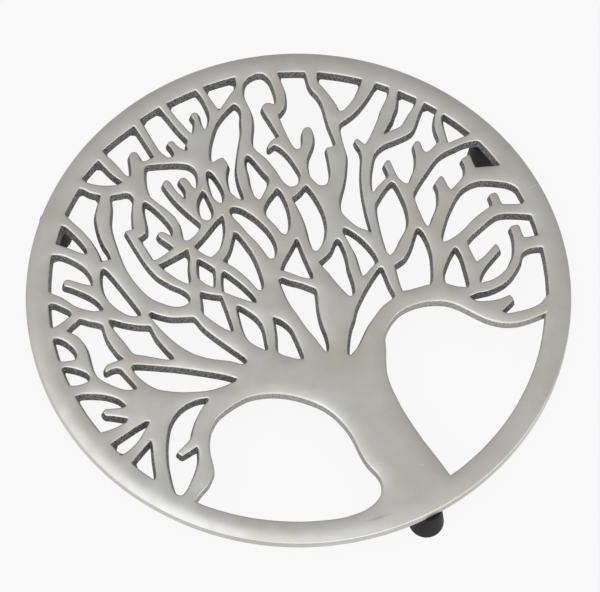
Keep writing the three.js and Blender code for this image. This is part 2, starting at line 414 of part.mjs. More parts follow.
    [-0.187, -0.075], [-0.192, -0.095], [-0.2, -0.118], [-0.208, -0.14], [-0.213, -0.157],
    [-0.22, -0.163], [-0.227, -0.158], [-0.24, -0.14], [-0.253, -0.117], [-0.262, -0.093],
    [-0.264, -0.07], [-0.262, -0.047], [-0.257, -0.023], [-0.25, 0], [-0.238, 0.04],
  ],
  [
    [-0.138, -0.053, sharp], [-0.127, -0.065], [-0.115, -0.083], [-0.105, -0.107], [-0.1, -0.13],
    [-0.101, -0.153], [-0.105, -0.18], [-0.108, -0.207], [-0.113, -0.233], [-0.117, -0.252],
    [-0.123, -0.258, sharp], [-0.133, -0.252], [-0.15, -0.237], [-0.17, -0.217], [-0.185, -0.198],
    [-0.191, -0.18], [-0.183, -0.16], [-0.17, -0.133], [-0.158, -0.107], [-0.148, -0.08],
  ],
  [
    [-0.097, 0.321, sharp], [-0.088, 0.31], [-0.083, 0.28], [-0.079, 0.247], [-0.077, 0.213],
    [-0.08, 0.18], [-0.085, 0.143], [-0.092, 0.11], [-0.1, 0.083], [-0.11, 0.067], [-0.123, 0.06],
    [-0.132, 0.067], [-0.136, 0.087], [-0.143, 0.12], [-0.153, 0.157], [-0.167, 0.193],
    [-0.18, 0.217], [-0.19, 0.235, sharp], [-0.173, 0.247], [-0.15, 0.263], [-0.13, 0.283],
    [-0.113, 0.303],
  ],
  [
    [-0.07, 0.405], [-0.057, 0.415], [-0.04, 0.407], [-0.023, 0.388], [-0.01, 0.363], [0.003, 0.333],
    [0.013, 0.3], [0.019, 0.267], [0.021, 0.233], [0.017, 0.203], [0.007, 0.177], [-0.007, 0.16],
    [-0.02, 0.154], [-0.034, 0.16], [-0.037, 0.18], [-0.04, 0.22], [-0.048, 0.26], [-0.057, 0.303],
    [-0.063, 0.34], [-0.07, 0.37],
  ],
  [
    [-0.047, 0.068], [-0.032, 0.07], [-0.017, 0.053], [0, 0.037], [0.017, 0.02], [0.03, 0.003],
    [0.045, -0.015], [0.055, -0.033], [0.048, -0.053], [0.037, -0.08], [0.023, -0.113],
    [0.012, -0.147], [0.005, -0.18], [0.001, -0.207], [-0.007, -0.237], [-0.017, -0.26],
    [-0.028, -0.274, sharp], [-0.038, -0.272, sharp], [-0.041, -0.247], [-0.043, -0.22],
    [-0.047, -0.187], [-0.052, -0.153], [-0.054, -0.12], [-0.056, -0.08], [-0.059, -0.047],
    [-0.058, 0], [-0.055, 0.027], [-0.051, 0.05],
  ],
  [
    [0.092, 0.187, sharp], [0.096, 0.177], [0.092, 0.153], [0.087, 0.12], [0.083, 0.087],
    [0.078, 0.053], [0.075, 0.027], [0.067, 0.01, sharp], [0.04, 0.03], [0.02, 0.053], [0, 0.078],
    [-0.022, 0.1, sharp], [0, 0.123], [0.027, 0.142], [0.053, 0.16],
  ],
  [
    [0.132, 0.407, sharp], [0.138, 0.38], [0.136, 0.353], [0.132, 0.323], [0.123, 0.293],
    [0.113, 0.267], [0.097, 0.24], [0.08, 0.225], [0.065, 0.219], [0.055, 0.233], [0.052, 0.26],
    [0.047, 0.287], [0.043, 0.313], [0.04, 0.333, sharp], [0.05, 0.358], [0.067, 0.373],
    [0.09, 0.387], [0.113, 0.398],
  ],
  [
    [0.16, 0.343, sharp], [0.18, 0.347], [0.2, 0.353], [0.217, 0.362], [0.233, 0.365, sharp],
    [0.238, 0.34], [0.24, 0.307], [0.239, 0.273], [0.236, 0.24], [0.228, 0.21], [0.217, 0.177],
    [0.2, 0.15], [0.183, 0.13], [0.16, 0.115], [0.137, 0.104], [0.127, 0.107], [0.123, 0.123],
    [0.126, 0.15], [0.132, 0.177], [0.142, 0.21], [0.15, 0.247], [0.155, 0.28], [0.158, 0.313],
  ],
  [
    [0.222, 0.115, sharp], [0.23, 0.105], [0.23, 0.08], [0.226, 0.053], [0.216, 0.017],
    [0.208, -0.003], [0.203, -0.02], [0.198, -0.043], [0.192, -0.07], [0.182, -0.097],
    [0.173, -0.112], [0.16, -0.117], [0.15, -0.117], [0.14, -0.083], [0.135, -0.053],
    [0.13, -0.023], [0.128, 0], [0.125, 0.02], [0.12, 0.043], [0.118, 0.063, sharp], [0.147, 0.07],
    [0.17, 0.078], [0.19, 0.092], [0.207, 0.107],
  ],
  [
    [0.268, 0.143, sharp], [0.28, 0.128], [0.293, 0.103], [0.303, 0.077], [0.31, 0.05],
    [0.315, 0.02], [0.317, -0.01], [0.313, -0.042, sharp], [0.293, -0.048], [0.273, -0.053],
    [0.253, -0.063], [0.229, -0.07, sharp], [0.232, -0.047], [0.237, -0.023], [0.243, 0],
    [0.248, 0.02], [0.252, 0.047], [0.253, 0.077], [0.255, 0.103], [0.257, 0.13],
  ],
  // Right boughs
  [
    [0.52, 0.225, sharp], [0.526, 0.21], [0.525, 0.18], [0.522, 0.15], [0.518, 0.12], [0.51, 0.09],
    [0.498, 0.06], [0.48, 0.033], [0.463, 0.02], [0.443, 0.007], [0.423, -0.008], [0.403, -0.023],
    [0.383, -0.035], [0.36, -0.043, sharp], [0.358, -0.013], [0.362, 0.005], [0.37, 0.033],
    [0.378, 0.063], [0.387, 0.093], [0.395, 0.12], [0.407, 0.147], [0.42, 0.172], [0.447, 0.19],
    [0.473, 0.207], [0.5, 0.22],
  ],
  [
    [0.302, -0.065], [0.312, -0.07], [0.312, -0.087], [0.307, -0.113], [0.303, -0.14],
    [0.3, -0.167], [0.297, -0.193], [0.287, -0.199, sharp], [0.277, -0.201], [0.247, -0.207],
    [0.217, -0.218], [0.187, -0.233], [0.16, -0.248], [0.133, -0.267], [0.107, -0.287],
    [0.08, -0.307], [0.057, -0.318], [0.035, -0.327, sharp], [0.028, -0.32, sharp], [0.035, -0.303],
    [0.05, -0.28], [0.07, -0.25], [0.093, -0.223], [0.117, -0.2], [0.14, -0.173], [0.167, -0.15],
    [0.197, -0.127], [0.227, -0.107], [0.257, -0.088], [0.283, -0.073],
  ],
  [
    [0.355, -0.082, sharp], [0.377, -0.08], [0.4, -0.075], [0.423, -0.062], [0.447, -0.043],
    [0.467, -0.023], [0.483, -0.007], [0.5, 0.007], [0.51, 0.006], [0.515, -0.005], [0.516, -0.03],
    [0.513, -0.057], [0.507, -0.087], [0.497, -0.117], [0.483, -0.147], [0.467, -0.177],
    [0.447, -0.207], [0.433, -0.217, sharp], [0.423, -0.213], [0.397, -0.207], [0.367, -0.202],
    [0.327, -0.192, sharp], [0.332, -0.17], [0.338, -0.14], [0.347, -0.11],
  ],
  [
    [0.587, -0.127], [0.593, -0.133], [0.594, -0.147], [0.593, -0.167], [0.587, -0.193],
    [0.577, -0.227], [0.567, -0.26], [0.558, -0.285], [0.548, -0.294, sharp], [0.537, -0.287],
    [0.52, -0.275], [0.5, -0.257], [0.483, -0.237, sharp], [0.493, -0.203], [0.507, -0.185],
    [0.527, -0.167], [0.55, -0.148], [0.57, -0.135],
  ],
];

// A point of the drawing at its real place on the plate
function placeOnPlate([acrossShare, upShare]) {
  const drawingScale = fieldRadius / drawnFieldShare;
  return new THREE.Vector2(acrossShare * drawingScale, upShare * drawingScale);
}

// The smooth curve through some points, as many short straight steps
function smoothThrough(points, closed) {
  const path = points.map((point) => new THREE.Vector3(point.x, point.y, 0));
  const curve = new THREE.CatmullRomCurve3(path, closed, "centripetal");
  const spans = closed ? points.length : points.length - 1;
  return curve.getPoints(spans * samplesPerSpan).map((point) => new THREE.Vector2(point.x, point.y));
}

// The same path with the points left out that lie within the tolerance of a straight side
function thinned(points, tolerance) {
  const first = points[0];
  const last = points[points.length - 1];
  const along = last.clone().sub(first);
  const length = along.length();
  let farthest = 0;
  let farthestAt = 0;
  points.forEach((point, index) => {
    const offset = point.clone().sub(first);
    const away = length > mergeDistance ? Math.abs(along.cross(offset)) / length : offset.length();
    if (away > farthest) {
      farthest = away;
      farthestAt = index;
    }
  });
  if (farthest <= tolerance) return [first, last];
  const before = thinned(points.slice(0, farthestAt + 1), tolerance);
  const after = thinned(points.slice(farthestAt), tolerance);
  return [...before.slice(0, -1), ...after];
}

// An open outline, split at its sharp points and smoothed between them
function smoothedStretch(shares) {
  const stretches = [[]];
  shares.forEach((share, index) => {
    const point = placeOnPlate(share);
    stretches[stretches.length - 1].push(point);
    const inside = index > 0 && index < shares.length - 1;
    if (share[2] && inside) stretches.push([point]);
  });
  const smoothed = stretches.flatMap((stretch) => thinned(smoothThrough(stretch, false), outlineTolerance));
  return smoothed.filter((point, index) => index === 0 || !point.equals(smoothed[index - 1]));
}

// A window among the branches: it starts at a sharp point, or is one smooth ring
function branchWindow(shares) {
  const firstSharp = shares.findIndex((share) => share[2]);
  if (firstSharp < 0) {
    const ring = thinned(smoothThrough(shares.map(placeOnPlate), true), outlineTolerance);
    return new THREE.Shape(ring.slice(0, -1));
  }
  const fromSharp = [...shares.slice(firstSharp), ...shares.slice(0, firstSharp), shares[firstSharp]];
  return new THREE.Shape(smoothedStretch(fromSharp).slice(0, -1));
}

// A window that the rim closes: the tree's side of it, then the rim's inner edge clockwise back to its start
function rimWindow(shares) {
  const treeSide = smoothedStretch(shares);
  const to = treeSide[0];
  const from = treeSide[treeSide.length - 1];
  const sweep = THREE.MathUtils.euclideanModulo(from.angle() - to.angle(), 2 * Math.PI);
  const steps = Math.ceil(THREE.MathUtils.radToDeg(sweep) / arcStepDegrees);
  const rimEdge = Array.from({ length: steps }, (_, step) => {
    const angle = from.angle() - (sweep * step) / steps;
    const radius = THREE.MathUtils.lerp(from.length(), to.length(), step / steps);
    return new THREE.Vector2(radius * Math.cos(angle), radius * Math.sin(angle));
  });
  return new THREE.Shape([...treeSide.slice(0, -1), ...rimEdge]);
}

// A closed geometry as a solid that can be joined and cut
function solidOf(geometry) {
  const bare = geometry.clone();
  bare.deleteAttribute("normal");
  bare.deleteAttribute("uv");
  const merged = mergeVertices(bare, mergeDistance);
  const corners = [];
  const index = merged.index.array;
  for (let i = 0; i < index.length; i += 3) {
    const [a, b, c] = index.slice(i, i + 3);
    if (a !== b && b !== c && c !== a) corners.push(a, b, c);
  }
  const vertProperties = new Float32Array(merged.attributes.position.array);
  const triVerts = new Uint32Array(corners);
  return new wasm.Manifold(new wasm.Mesh({ numProp: 3, vertProperties, triVerts }));
}

// A solid as a geometry that a mesh can show
function geometryOf(solid) {
  const { vertProperties, triVerts } = solid.getMesh();
  const geometry = new THREE.BufferGeometry();
  geometry.setAttribute("position", new THREE.BufferAttribute(vertProperties, 3));
  geometry.setIndex(new THREE.BufferAttribute(triVerts, 1));
  geometry.computeVertexNormals();
  return geometry;
}

// A profile of [radius, height] pairs turned about the Z axis
function turned(profile, sides) {
  const points = profile.map(([radius, height]) => new THREE.Vector2(radius, height));
  return new THREE.LatheGeometry(points, sides).rotateX(Math.PI / 2);
}

// A quarter of an ellipse in a profile, between two angles measured from outwards towards upwards
function quarter(centreRadius, centreHeight, acrossRadius, upRadius, fromDegrees, toDegrees, steps) {
  return Array.from({ length: steps + 1 }, (_, step) => {
    const angle = THREE.MathUtils.degToRad(THREE.MathUtils.lerp(fromDegrees, toDegrees, step / steps));
    return [centreRadius + acrossRadius * Math.cos(angle), centreHeight + upRadius * Math.sin(angle)];
  });
}

// Where a foot stands under the plate
function footPlace(foot) {
  const bearing = THREE.MathUtils.degToRad(foot.bearingDegrees);
  const radius = rimMiddleRadius + foot.outset;
  return [radius * Math.cos(bearing), radius * Math.sin(bearing)];
}

// The round plate before it is pierced: flat on both faces, its rim's top falling gently to the edge
function plateBlank() {
  const lowerCentre = plateRadius - undersideRound;
  const crownCentre = plateRadius - rimCrownWidth;
  const crownFoot = plateTop - rimCrownDrop;
  const profile = [
    [0, plateBottom],
    ...quarter(
      lowerCentre, plateBottom + undersideRound, undersideRound, undersideRound, -90, 0, roundSteps,
    ),
    ...quarter(crownCentre, crownFoot, rimCrownWidth, rimCrownDrop, 0, 90, crownSteps),
    [0, plateTop],
  ];
  return solidOf(turned(profile, circleSides));
}

// A cast peg under the rim, chamfered at its lower end and running up into the plate
function peg(foot) {
  const profile = [
    [0, pegEnd],
    [pegRadius - pegChamfer, pegEnd],
    [pegRadius, pegEnd + pegChamfer],
    [pegRadius, plateBottom + plateThickness / 2],
    [0, plateBottom + plateThickness / 2],
  ];
  const [x, y] = footPlace(foot);
  return solidOf(turned(profile, pegSides).translate(x, y, 0));
}

function trivetPlate() {
  const windows = [...rimWindowShares.map(rimWindow), ...branchWindowShares.map(branchWindow)];
  const cutDepth = plateThickness + 2 * cutOverrun;
  const cutters = new THREE.ExtrudeGeometry(windows, { depth: cutDepth, bevelEnabled: false });
  cutters.translate(0, 0, plateBottom - cutOverrun);
  let casting = plateBlank().subtract(solidOf(cutters));
  for (const foot of feet) casting = casting.add(peg(foot));
  const aluminium = new THREE.MeshStandardMaterial({ color: 0xacaca6, roughness: 0.38, metalness: 1 });
  const mesh = new THREE.Mesh(geometryOf(casting), aluminium);
  mesh.name = "trivet_plate";
  return mesh;
}

// A rubber cap that stands on the table and takes the peg in a blind bore
function rubberFoot(foot) {
  const soleCentre = footBottomRadius - footBottomRound;
  const lipCentre = footTopRadius - footTopRound;
  const lipHeight = footHeight - footTopRound;
  const profile = [
    [0, 0],
    ...quarter(soleCentre, footBottomRound, footBottomRound, footBottomRound, -90, 0, roundSteps),
    ...quarter(lipCentre, lipHeight, footTopRound, footTopRound, 0, 90, roundSteps),
    [boreRadius, footHeight],
    [boreRadius, footSole],
    [0, footSole],
  ];
  const rubber = new THREE.MeshStandardMaterial({ color: 0x2b2b2c, roughness: 0.7, metalness: 0 });
  const mesh = new THREE.Mesh(turned(profile, footSides), rubber);
  mesh.name = foot.name;
  const [x, y] = footPlace(foot);
  mesh.position.set(x, y, 0);
  return mesh;
}

const trivet = new THREE.Group();
trivet.add(trivetPlate(), ...feet.map(rubberFoot));
trivet.position.y = frontOverhang / 2;

export default trivet;
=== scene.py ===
import math

import bmesh
import bpy
import numpy as np
from mathutils import Matrix, Vector, kdtree, noise
from mathutils.geometry import delaunay_2d_cdt


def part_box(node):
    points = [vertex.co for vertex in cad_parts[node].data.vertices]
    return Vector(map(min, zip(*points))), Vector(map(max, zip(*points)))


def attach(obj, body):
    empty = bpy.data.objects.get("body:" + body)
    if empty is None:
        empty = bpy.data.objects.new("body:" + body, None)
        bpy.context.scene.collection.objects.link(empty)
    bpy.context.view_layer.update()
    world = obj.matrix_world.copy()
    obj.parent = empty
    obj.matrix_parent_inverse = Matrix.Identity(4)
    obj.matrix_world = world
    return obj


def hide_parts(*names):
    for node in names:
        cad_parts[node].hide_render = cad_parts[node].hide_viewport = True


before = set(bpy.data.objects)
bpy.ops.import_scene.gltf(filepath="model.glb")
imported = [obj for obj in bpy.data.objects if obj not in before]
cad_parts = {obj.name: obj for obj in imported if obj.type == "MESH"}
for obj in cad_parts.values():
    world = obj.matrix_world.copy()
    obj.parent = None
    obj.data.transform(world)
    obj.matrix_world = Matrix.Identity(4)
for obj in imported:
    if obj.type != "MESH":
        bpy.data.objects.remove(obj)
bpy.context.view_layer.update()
mm = 0.001

plateLow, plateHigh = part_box("trivet_plate")
footNodes = ["rubber_foot_front", "rubber_foot_right", "rubber_foot_left"]
plateCentre = (plateLow + plateHigh) / 2
plateRadius = (plateHigh.x - plateLow.x) / 2
plateTop = plateHigh.z
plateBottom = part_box(footNodes[0])[1].z
print("frame loaded, plate", round(plateRadius * 2 / mm, 1), "mm across")


# A socket that takes part in Python arithmetic, each operation adding its Math node
class Value:
    def __init__(self, nodes, socket):
        self.nodes = nodes
        self.socket = socket

    def math(self, operation, first, second):
        return self.nodes.add("ShaderNodeMath", {"operation": operation}, {0: first, 1: second})

    def __add__(self, other):
        return self.math("ADD", self, other)

    def __radd__(self, other):
        return self.math("ADD", other, self)

    def __sub__(self, other):
        return self.math("SUBTRACT", self, other)

    def __rsub__(self, other):
        return self.math("SUBTRACT", other, self)

    def __mul__(self, other):
        return self.math("MULTIPLY", self, other)

    def __rmul__(self, other):
        return self.math("MULTIPLY", other, self)


# One node tree, for a material, the world or geometry
class Nodes:
    def __init__(self, tree):
        self.tree = tree
        self.tree.nodes.clear()

    # A node by its type: its settings first, then the values or links of its sockets
    def add(self, kind, settings={}, values={}, output=0):
        node = self.tree.nodes.new(kind)
        node.location = (200 * len(self.tree.nodes), 0)
        for name, setting in settings.items():
            if name == "itemCount":
                while len(node.index_switch_items) < setting:
                    node.index_switch_items.new()
            else:
                setattr(node, name, setting)
        for name, value in values.items():
            if isinstance(value, Value):
                self.tree.links.new(value.socket, node.inputs[name])
            else:
                node.inputs[name].default_value = value
        return Value(self, node.outputs[output]) if node.outputs else node

    # Noise with features of a real size in metres, from 0 to 1
    def grain(self, place, size, detail=2.0, roughness=0.5):
        values = {"Vector": place, "Scale": 1 / size, "Detail": detail, "Roughness": roughness}
        return self.add("ShaderNodeTexNoise", {}, values)

    # A soft step from 0 to 1 as the value goes from low to high
    def step(self, value, low, high):
        values = {"Value": value, "From Min": low, "From Max": high}
        return self.add("ShaderNodeMapRange", {"interpolation_type": "SMOOTHSTEP"}, values)

    # A soft spot on the plate, 1 in its middle and 0 round it
    def spot(self, place, mark):
        middle = plateCentre + Vector(mark["middle"]).to_3d() * mm
        long, wide = mark["size"]
        values = {
            "Vector": place,
            "Location": (middle.x, middle.y, 0),
            "Rotation": (0, 0, math.radians(mark["turn"])),
            "Scale": (long * mm / 2, wide * mm / 2, 1),
        }
        turned = self.add("ShaderNodeMapping", {"vector_type": "TEXTURE"}, values)
        distance = self.add("ShaderNodeVectorMath", {"operation": "LENGTH"}, {0: turned}, 1)
        return self.step(distance, 1, 0)

    # One colour passing into another, by the colour sockets of a Mix node
    def blendColours(self, factor, first, second):
        return self.add("ShaderNodeMix", {"data_type": "RGBA"}, {0: factor, 6: first, 7: second}, 2)


def newMaterial(name):
    material = bpy.data.materials.new(name)
    material.use_nodes = True
    return material, Nodes(material.node_tree)


def newPiece(name, mesh, *materials):
    piece = bpy.data.objects.new(name, mesh)
    bpy.context.scene.collection.objects.link(piece)
    for material in materials:
        mesh.materials.append(material)
    return piece


# Hand-finished casting: lengths in millimetres, areas in square millimetres, angles in degrees
casting = {
    "edgeRound": 0.6,  # radius left by the polishing on every top edge
    "roundAngles": [30, 60, 90],
    "flatRings": [0.8, 1.4],  # two more rings keep the shading even beside an edge
    "polishReach": 0.3,  # the polish fades out over this width beside an opening
    "pillowDrop": 1.0,  # how far the polishing rolls the flat face off towards open air
    "pillowReach": 2.4,
    "pillowCell": 0.25,
    "pillowMargin": 30,  # empty cells round the rim
    "crownWidth": 8.5,
    "crownDrop": 0.4,
    "crownFullness": 0.8,  # 1 is a parabola, 0.5 an ellipse
    "crownRings": 9,
    "undersideRound": 0.35,
    "openingRound": 0.8,  # radius of the lower edges of the openings
    "rimSides": 360,
    "rimNearness": 0.06,  # a side of the mesh this near to the rim's edge belongs to the rim
    "sideRows": 3,
    "draftAreas": [200, 1500],  # small openings have more draft than large ones
    "drafts": [0.78, 0.2],
    "draftShares": [0.3, 1.0],  # the rings of points on a wall, as shares of its draft
    "lowerEdge": 0.1,
    "wallPolish": [0.0, 0.5],  # the walls of large openings are the smoother ones
    "weldDistance": 0.005,
    "cornerTurn": 34,  # an outline that turns by more has a corner there
    "traceStep": 0.12,
    "cornerSoftness": 0.3,
    "fullness": 0.18,  # how much fuller the rounded bars are than the sharp ones of the plain plate
    "handWobble": 0.05,
    "wobbleLength": 5.0,
    "wobbleLayer": 7.0,  # the height at which the noise is cut
    "wobbleSeed": 1,  # without a seed Blender's noise starts anew by the clock
    "outlineTolerance": 0.018,
    "longestSide": 2.0,
    "shortestChord": 1e-9,
    "keptDistance": 0.93,  # share of its distance that a moved point has to keep from every edge
    "meshTolerance": 1e-6,
    "gridSpacing": 1.6,
    "gridMargin": 1.85,
    "pegRadius": 2.5,
    "pegChamfer": 0.5,
    "pegEnd": 4.0,
    "pegRoot": 1.0,  # how far a peg reaches up into the plate
    "pegSides": 32,
}


# The outlines of the openings, walked round the edge of the casting's flat top with the metal on the left
def openingOutlines():
    weldDistance = casting["weldDistance"] * mm
    shell = bmesh.new()
    shell.from_mesh(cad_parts["trivet_plate"].data)
    bmesh.ops.remove_doubles(shell, verts=shell.verts, dist=weldDistance)
    shell.faces.index_update()
    lowest = plateTop - weldDistance
    topFaces = {face.index: face for face in shell.faces if all(v.co.z > lowest for v in face.verts)}
    following = {}
    for face in topFaces.values():
        for corner in face.loops:
            if sum(other.index in topFaces for other in corner.edge.link_faces) == 1:
                following[corner.vert] = corner.link_loop_next.vert
    outlines = []
    while following:
        vert = next(iter(following))
        outline = []
        while vert in following:
            outline.append([vert.co.x - plateCentre.x, vert.co.y - plateCentre.y])
            vert = following.pop(vert)
        outlines.append(np.array(outline) / mm)
    shell.free()
    outlines.sort(key=lambda outline: np.abs(outline).max())
    return outlines[:-1]  # the last is the foot of the rim's crown


# A smooth curve through the points of a closed outline, broken only at its corners
def smoothOutline(outline):
    before = outline - np.roll(outline, 1, 0)
    after = np.roll(outline, -1, 0) - outline
    turn = np.arctan2(
        before[:, 0] * after[:, 1] - before[:, 1] * after[:, 0], (before * after).sum(1)
    )
    isCorner = np.abs(turn) > math.radians(casting["cornerTurn"])
    count = len(outline)
    stretches = []
    for i in range(count):
        j = (i + 1) % count
        start, end = outline[i], outline[j]
        previous = 2 * start - end if isCorner[i] else outline[i - 1]
        following = 2 * end - start if isCorner[j] else outline[(j + 1) % count]
        gaps = [math.sqrt(math.dist(a, b)) for a, b in ((previous, start), (start, end), (end, following))]
        startSlope = end - start + gaps[1] * (
            (start - previous) / gaps[0] - (end - previous) / (gaps[0] + gaps[1])
        )
        endSlope = end - start + gaps[1] * (
            (following - end) / gaps[2] - (following - start) / (gaps[1] + gaps[2])
        )
        steps = max(1, round(math.dist(start, end) / casting["traceStep"]))
        t = (np.arange(steps) / steps)[:, None]
        stretches.append(
            (2 * t**3 - 3 * t**2 + 1) * start
            + (t**3 - 2 * t**2 + t) * startSlope
            + (3 * t**2 - 2 * t**3) * end
            + (t**3 - t**2) * endSlope
        )
    return np.concatenate(stretches)


# Directions square to a closed outline at its points, to the left of the walk
def leftOf(outline):
    before = outline - np.roll(outline, 1, 0)
    after = np.roll(outline, -1, 0) - outline
    along = before / np.hypot(*before.T)[:, None] + after / np.hypot(*after.T)[:, None]
    return np.stack([-along[:, 1], along[:, 0]], 1) / np.hypot(*along.T)[:, None]


# Weights of a soft blur over steps of a given length, for the steps up to the reach on both sides
def bellWeights(reach, step, softness):
    weights = np.exp(-0.5 * (np.arange(-reach, reach + 1) * step / softness) ** 2)
    return weights / weights.sum()


# The same outline as a hand finish leaves it: corners softened, and never quite even
def handFinished(outline):
    step = casting["traceStep"]
    softness = casting["cornerSoftness"]
    reach = math.ceil(3 * softness / step)
    weights = bellWeights(reach, step, softness)
    soft = sum(weight * np.roll(outline, i - reach, 0) for i, weight in enumerate(weights))
    layer = casting["wobbleLayer"]
    wobble = [noise.noise_vector(Vector((x, y, layer)) / casting["wobbleLength"]).xy for x, y in soft]
    return soft - casting["fullness"] * leftOf(soft) + casting["handWobble"] * np.array(wobble)


# Which points of an open stretch are needed to stay within the tolerance
def findNeeded(points, first, last, kept):
    between = points[first + 1 : last] - points[first]
    if len(between) == 0:
        return
    chord = points[last] - points[first]
    length = max(np.hypot(*chord), casting["shortestChord"])
    away = np.abs(between[:, 0] * chord[1] - between[:, 1] * chord[0]) / length
    isBent = away.max() > casting["outlineTolerance"]
    if isBent or length > casting["longestSide"]:
        middle = first + 1 + int(away.argmax()) if isBent else (first + last) // 2
        kept.add(middle)
        findNeeded(points, first, middle, kept)
        findNeeded(points, middle, last, kept)


def thinned(outline):
    closed = np.concatenate([outline, outline[:1]])
    half = len(outline) // 2
    kept = {0, half}
    findNeeded(closed, 0, half, kept)
    findNeeded(closed, half, len(outline), kept)
    return outline[sorted(kept)]


def circle(radius, sides):
    angles = 2 * math.pi * np.arange(sides) / sides
    return radius * np.stack([np.cos(angles), np.sin(angles)], 1)


# The area that a closed outline encloses
def areaOf(outline):
    x, y = outline.T
    return abs((x * np.roll(y, -1) - y * np.roll(x, -1)).sum()) / 2


# The edges of the metal: the openings, each with the draft and polish of its wall, and the rim's
# outer edge
class Edges:
    def __init__(self, rimEdge):
        self.rimEdge = rimEdge
        noise.seed_set(casting["wobbleSeed"])
        self.traced = [handFinished(smoothOutline(outline)) for outline in openingOutlines()]
        self.outlines = [thinned(outline) for outline in self.traced]
        self.rim = circle(rimEdge, casting["rimSides"])
        logAreas = np.log([areaOf(outline) for outline in self.outlines])
        self.drafts = np.interp(logAreas, np.log(casting["draftAreas"]), casting["drafts"])
        self.wallPolish = np.interp(logAreas, np.log(casting["draftAreas"]), casting["wallPolish"])
        self.tree = kdtree.KDTree(sum(map(len, self.traced)))
        self.owners = []
        for number, outline in enumerate(self.traced):
            for x, y in outline:
                self.tree.insert((x, y, 0), len(self.owners))
                self.owners.append(number)
        self.tree.balance()

    # The opening nearest to a point, and the distance to its outline
    def nearest(self, x, y):
        _, index, distance = self.tree.find((x, y, 0))
        return self.owners[index], distance

    # How far inside the rim's outer edge points lie
    def toRim(self, points):
        return self.rimEdge - np.hypot(*points.T)

    # The distance from a point to the nearest edge of any kind
    def clearance(self, x, y):
        return min(self.nearest(x, y)[1], abs(self.rimEdge - math.hypot(x, y)))

    # An outline moved sideways, to the left where the distance is positive, without the points that
    # come too near to an edge
    def moved(self, outline, distance):
        spots = outline + distance * leftOf(outline)
        least = casting["keptDistance"] * abs(distance)
        return spots, [self.clearance(x, y) > least for x, y in spots]


# How much metal there is round each place, from 0 to 1, blurred over the pillow's reach
class MetalAround:
    def __init__(self, edges):
        self.cell = casting["pillowCell"]
        self.half = int(edges.rimEdge / self.cell) + casting["pillowMargin"]
        places = np.arange(-self.half, self.half + 1) * self.cell
        metal = (np.hypot(places[:, None], places[None, :]) < edges.rimEdge).astype(float)
        for outline in edges.outlines:
            ends = np.roll(outline, -1, 0)
            low, high = outline[:, 1].min(), outline[:, 1].max()
            for row in np.flatnonzero((places > low) & (places < high)):
                y = places[row]
                crossing = (outline[:, 1] > y) != (ends[:, 1] > y)
                start, end = outline[crossing], ends[crossing]
                xs = start[:, 0] + (end[:, 0] - start[:, 0]) * (y - start[:, 1]) / (end[:, 1] - start[:, 1])
                xs.sort()
                for left, right in zip(xs[::2], xs[1::2]):
                    metal[row, (places > left) & (places < right)] = 0
        reach = int(3 * casting["pillowReach"] / self.cell)
        weights = bellWeights(reach, self.cell, casting["pillowReach"])
        for _ in range(2):
            metal = np.apply_along_axis(np.convolve, 1, metal, weights, "same").T
        self.metal = metal

    def at(self, points):
        place = points[:, ::-1] / self.cell + self.half
        low = np.floor(place).astype(int)
        rowPart, columnPart = (place - low).T
        row, column = low.T
        grid = self.metal
        near = grid[row, column] * (1 - columnPart) + grid[row, column + 1] * columnPart
        far = grid[row + 1, column] * (1 - columnPart) + grid[row + 1, column + 1] * columnPart
        return near * (1 - rowPart) + far * rowPart


# Which points lie within a closed outline that is walked clockwise
def isWithin(outline, points):
    starts = outline[None]
    ends = np.roll(outline, -1, 0)[None]
    x, y = points.T[:, :, None]
    across = (ends[..., 0] - starts[..., 0]) * (y - starts[..., 1])
    across = across - (x - starts[..., 0]) * (ends[..., 1] - starts[..., 1])
    isRising = (starts[..., 1] <= y) & (ends[..., 1] > y) & (across > 0)
    isFalling = (starts[..., 1] > y) & (ends[..., 1] <= y) & (across < 0)
    return isFalling.sum(1) > isRising.sum(1)


